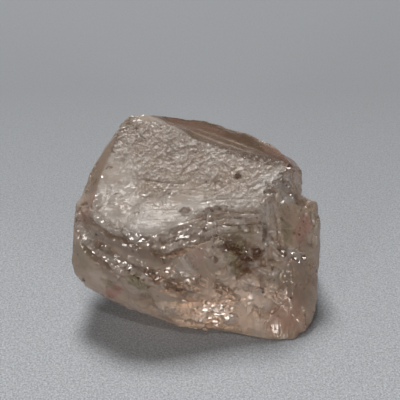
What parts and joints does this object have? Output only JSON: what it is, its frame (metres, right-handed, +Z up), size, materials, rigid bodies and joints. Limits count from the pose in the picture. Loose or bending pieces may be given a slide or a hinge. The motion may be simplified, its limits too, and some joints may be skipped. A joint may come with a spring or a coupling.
{
  "type": "topaz crystal",
  "caption": "Rough, clear, pale brown topaz crystal: a blocky broken prism with a striated top face, stepped shell-like fractures down its front and a flat base.",
  "frame": {"origin": "on the ground under the middle of the crystal's bounding box", "axes": "+X along the crystal's long axis to the right as pictured, +Y away from the striated face to the back, +Z up"},
  "size_m": [0.024, 0.0176, 0.0163],
  "materials": {
    "topaz": "natural, part smooth crystal face and part glassy fracture"
  },
  "bodies": {
    "root": {"topaz_crystal": "topaz"}
  },
  "joints": []
}
